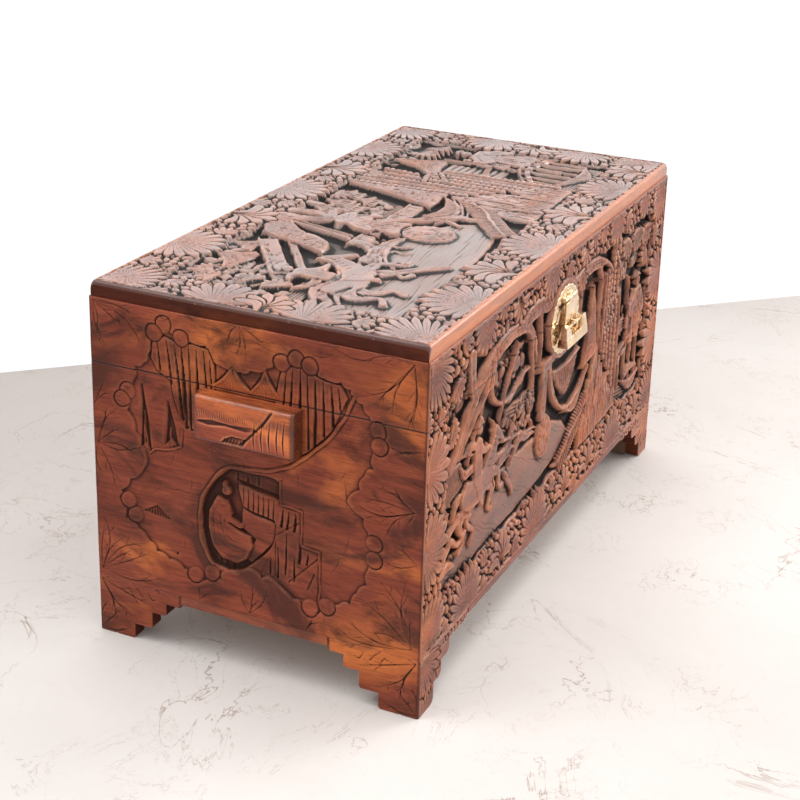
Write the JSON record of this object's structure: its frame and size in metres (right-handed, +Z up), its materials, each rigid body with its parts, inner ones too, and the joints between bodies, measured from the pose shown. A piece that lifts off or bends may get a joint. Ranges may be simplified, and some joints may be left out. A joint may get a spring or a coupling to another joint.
{
  "type": "carved wooden chest",
  "caption": "Carved wooden blanket chest with a hinged boxed lid, block handles, stepped bracket feet and a brass hasp with a sliding-bolt padlock.",
  "frame": {"origin": "on the floor, under the middle of the whole object's box", "axes": "+Z up; -Y is the front, with the lock; +Y is the back, with the hinges; X runs along the length, with a handle at each end"},
  "size_m": [1.084, 0.5637, 0.56],
  "materials": {
    "camphor_stained": "stained and varnished, semi-gloss",
    "camphor_bare": "bare planed wood",
    "brass": "polished",
    "screw_brass": "dull brass"
  },
  "bodies": {
    "carcase": {"back_base_strip": "camphor_stained", "back_left_foot_block": "camphor_bare", "back_left_foot_end_bracket": "camphor_stained", "back_left_foot_long_bracket": "camphor_stained", "back_panel": "camphor_stained", "back_right_foot_block": "camphor_bare", "back_right_foot_end_bracket": "camphor_stained", "back_right_foot_long_bracket": "camphor_stained", "bottom_battens": "camphor_bare", "bottom_plank_1": "camphor_bare", "bottom_plank_2": "camphor_bare", "bottom_plank_3": "camphor_bare", "bottom_plank_4": "camphor_bare", "front_base_strip": "camphor_stained", "front_dust_lip": "camphor_bare", "front_left_foot_block": "camphor_bare", "front_left_foot_end_bracket": "camphor_stained", "front_left_foot_long_bracket": "camphor_stained", "front_panel": "camphor_stained", "front_right_foot_block": "camphor_bare", "front_right_foot_end_bracket": "camphor_stained", "front_right_foot_long_bracket": "camphor_stained", "hinge_screws_body": "screw_brass", "left_base_strip": "camphor_stained", "left_dust_lip": "camphor_bare", "left_end_panel": "camphor_stained", "left_handle": "camphor_stained", "left_handle_screws": "screw_brass", "left_hinge_body_leaf": "brass", "left_hinge_pin": "brass", "lock_plate_lower": "brass", "lock_plate_lower_pins": "brass", "lock_staple": "brass", "right_base_strip": "camphor_stained", "right_dust_lip": "camphor_bare", "right_end_panel": "camphor_stained", "right_handle": "camphor_stained", "right_handle_screws": "screw_brass", "right_hinge_body_leaf": "brass", "right_hinge_pin": "brass"},
    "lid": {"hasp_pin": "brass", "hinge_screws_lid": "screw_brass", "left_hinge_lid_leaf": "brass", "lid_back_rail": "camphor_stained", "lid_front_rail": "camphor_stained", "lid_left_rail": "camphor_stained", "lid_right_rail": "camphor_stained", "lid_top": "camphor_stained", "lock_plate_upper": "brass", "lock_plate_upper_pins": "brass", "right_hinge_lid_leaf": "brass"},
    "hasp": {"hasp": "brass"},
    "padlock": {"padlock_body": "brass"},
    "padlock_bolt": {"padlock_bolt": "brass", "padlock_spring": "brass"}
  },
  "joints": [
    {"name": "lid_hinge", "type": "hinge", "parent": "carcase", "child": "lid", "pos_m": [0, 0.27735, 0.438], "axis": [-1, 0, 0], "range_deg": [0, 100]},
    {"name": "hasp_pivot", "type": "hinge", "parent": "lid", "child": "hasp", "pos_m": [0, -0.26405, 0.468], "axis": [-1, 0, 0], "range_deg": [0, 105]},
    {"name": "padlock_swing", "type": "hinge", "parent": "carcase", "child": "padlock", "pos_m": [0, -0.27285, 0.4255], "axis": [-1, 0, 0], "range_deg": [0, 70]},
    {"name": "padlock_bolt_slide", "type": "slide", "parent": "padlock", "child": "padlock_bolt", "axis": [-1, 0, 0], "range_m": [0, 0.055]}
  ]
}
